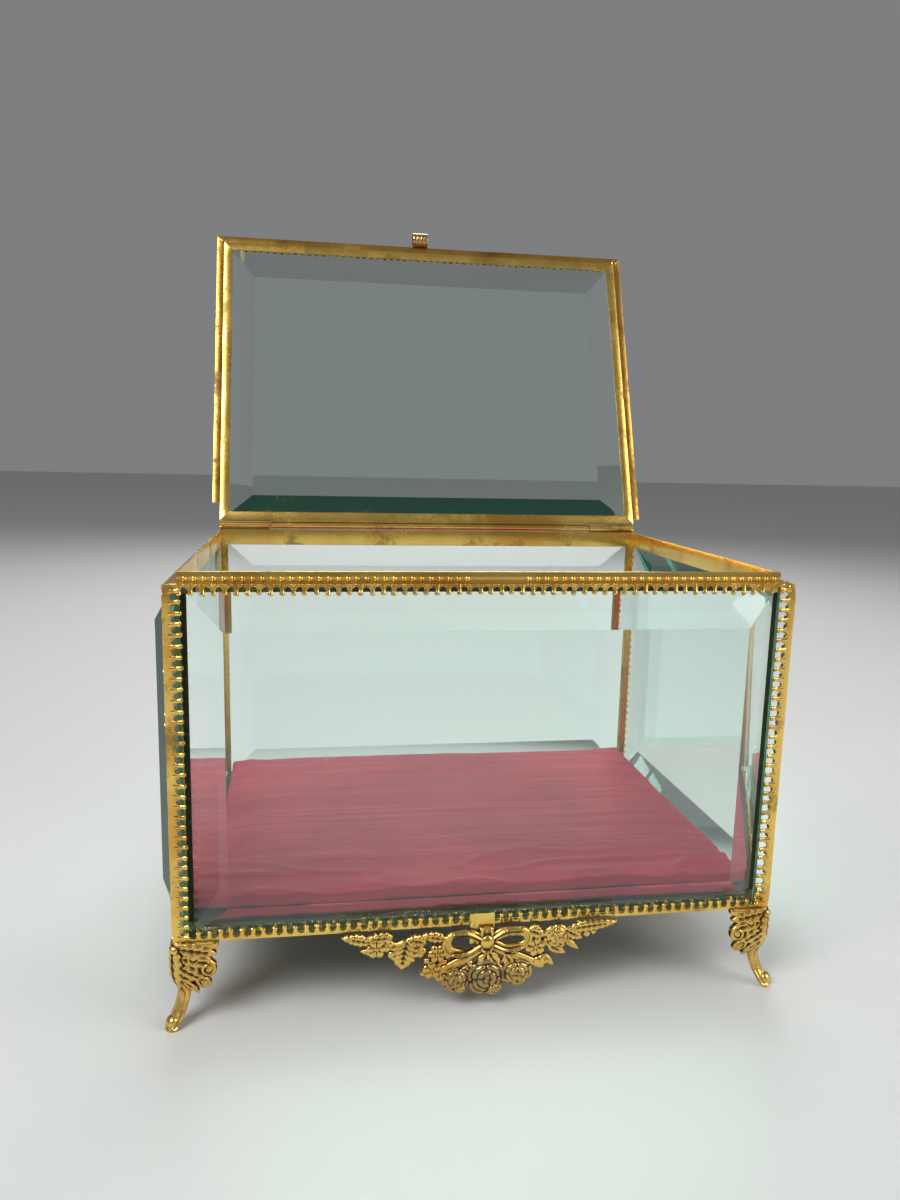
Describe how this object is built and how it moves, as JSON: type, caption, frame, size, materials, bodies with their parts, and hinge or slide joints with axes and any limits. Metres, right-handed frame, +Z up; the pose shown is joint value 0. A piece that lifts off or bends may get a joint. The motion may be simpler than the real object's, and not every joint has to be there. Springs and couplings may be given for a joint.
{
  "type": "jewelry box",
  "caption": "Glass jewelry casket with bevelled panes in a gilt beaded brass frame, scroll feet, front swag, silk cushion and a hinged glazed lid.",
  "frame": {"origin": "on the surface the casket stands on, at the centre of the footprint of its bounding box with the lid open as stored (18.1 mm behind the centre of the four feet)", "axes": "+Z up, +X to the right seen from the front, +Y from the front with the catch and swag to the hinge side"},
  "size_m": [0.1638, 0.1576, 0.224],
  "materials": {
    "gilt_brass": "gilt, worn to brown in the folds",
    "stamped_brass": "stamped relief, gilt on the high spots, dark patina in the recesses",
    "tarnished_brass": "dark antique",
    "steel_pin": "dull",
    "bevelled_glass": "polished, wide ground bevels, greenish edges",
    "silk": "raspberry silk with fine streaks",
    "black_card": "matt black card"
  },
  "bodies": {
    "casket": {"base_board": "black_card", "base_glass": "bevelled_glass", "bottom_rail_front": "gilt_brass", "bottom_rail_left": "gilt_brass", "bottom_rail_rear": "gilt_brass", "bottom_rail_right": "gilt_brass", "corner_post_front_left": "gilt_brass", "corner_post_front_right": "gilt_brass", "corner_post_rear_left": "gilt_brass", "corner_post_rear_right": "gilt_brass", "cushion": "silk", "foot_front_left": "stamped_brass", "foot_front_right": "stamped_brass", "foot_rear_left": "stamped_brass", "foot_rear_right": "stamped_brass", "front_glass": "bevelled_glass", "front_swag": "stamped_brass", "hinge_knuckle_left": "gilt_brass", "hinge_knuckle_right": "gilt_brass", "hinge_pin": "steel_pin", "inner_angle_front_left": "gilt_brass", "inner_angle_front_right": "gilt_brass", "inner_angle_rear_left": "gilt_brass", "inner_angle_rear_right": "gilt_brass", "left_glass": "bevelled_glass", "rear_glass": "bevelled_glass", "right_glass": "bevelled_glass", "swag_tab": "gilt_brass", "top_rail_front": "gilt_brass", "top_rail_left": "gilt_brass", "top_rail_rear": "gilt_brass", "top_rail_right": "gilt_brass", "tray_crown_front": "gilt_brass", "tray_crown_left": "gilt_brass", "tray_crown_rear": "gilt_brass", "tray_crown_right": "gilt_brass"},
    "lid": {"catch": "tarnished_brass", "hinge_knuckle_middle": "gilt_brass", "lid_border_front": "gilt_brass", "lid_border_left": "gilt_brass", "lid_border_right": "gilt_brass", "lid_glass": "bevelled_glass", "lid_rail_front": "gilt_brass", "lid_rail_left": "gilt_brass", "lid_rail_rear": "gilt_brass", "lid_rail_right": "gilt_brass"}
  },
  "joints": [
    {"name": "lid_hinge", "type": "hinge", "parent": "casket", "child": "lid", "pos_m": [0, 0.03581, 0.11505], "axis": [1, 0, 0], "range_deg": [0, 111.3]}
  ]
}
